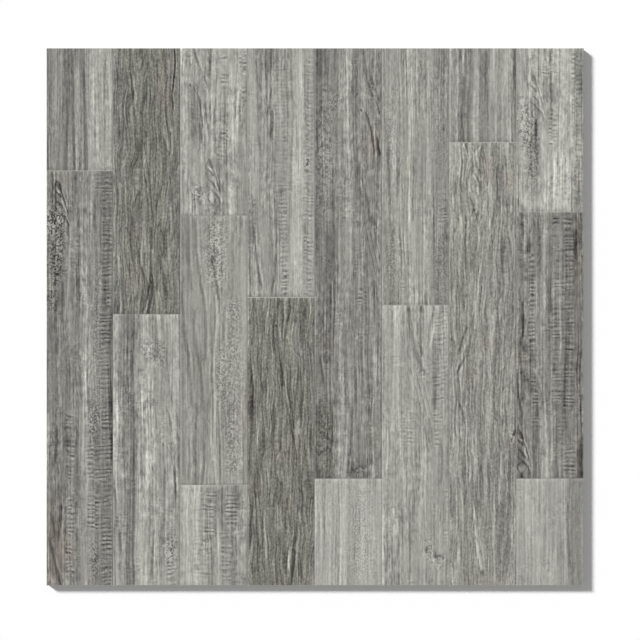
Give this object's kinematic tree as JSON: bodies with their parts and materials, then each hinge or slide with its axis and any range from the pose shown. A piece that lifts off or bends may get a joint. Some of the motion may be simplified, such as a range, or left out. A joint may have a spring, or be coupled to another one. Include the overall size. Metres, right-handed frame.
{
  "type": "floor tile",
  "caption": "Square matt porcelain floor tile with a grey wood-plank face, shallow V-joints between its printed planks and a ribbed back that keys into adhesive.",
  "frame": {"origin": "centre of the back, on the plane of the rib crowns that the tile lies on", "axes": "+Z out of the face, +Y along the planks, +X across them"},
  "size_m": [0.6, 0.6, 0.009],
  "materials": {
    "porcelain": "matt glaze, grey weathered-wood print"
  },
  "bodies": {
    "root": {"floor_tile": "porcelain"}
  },
  "joints": []
}
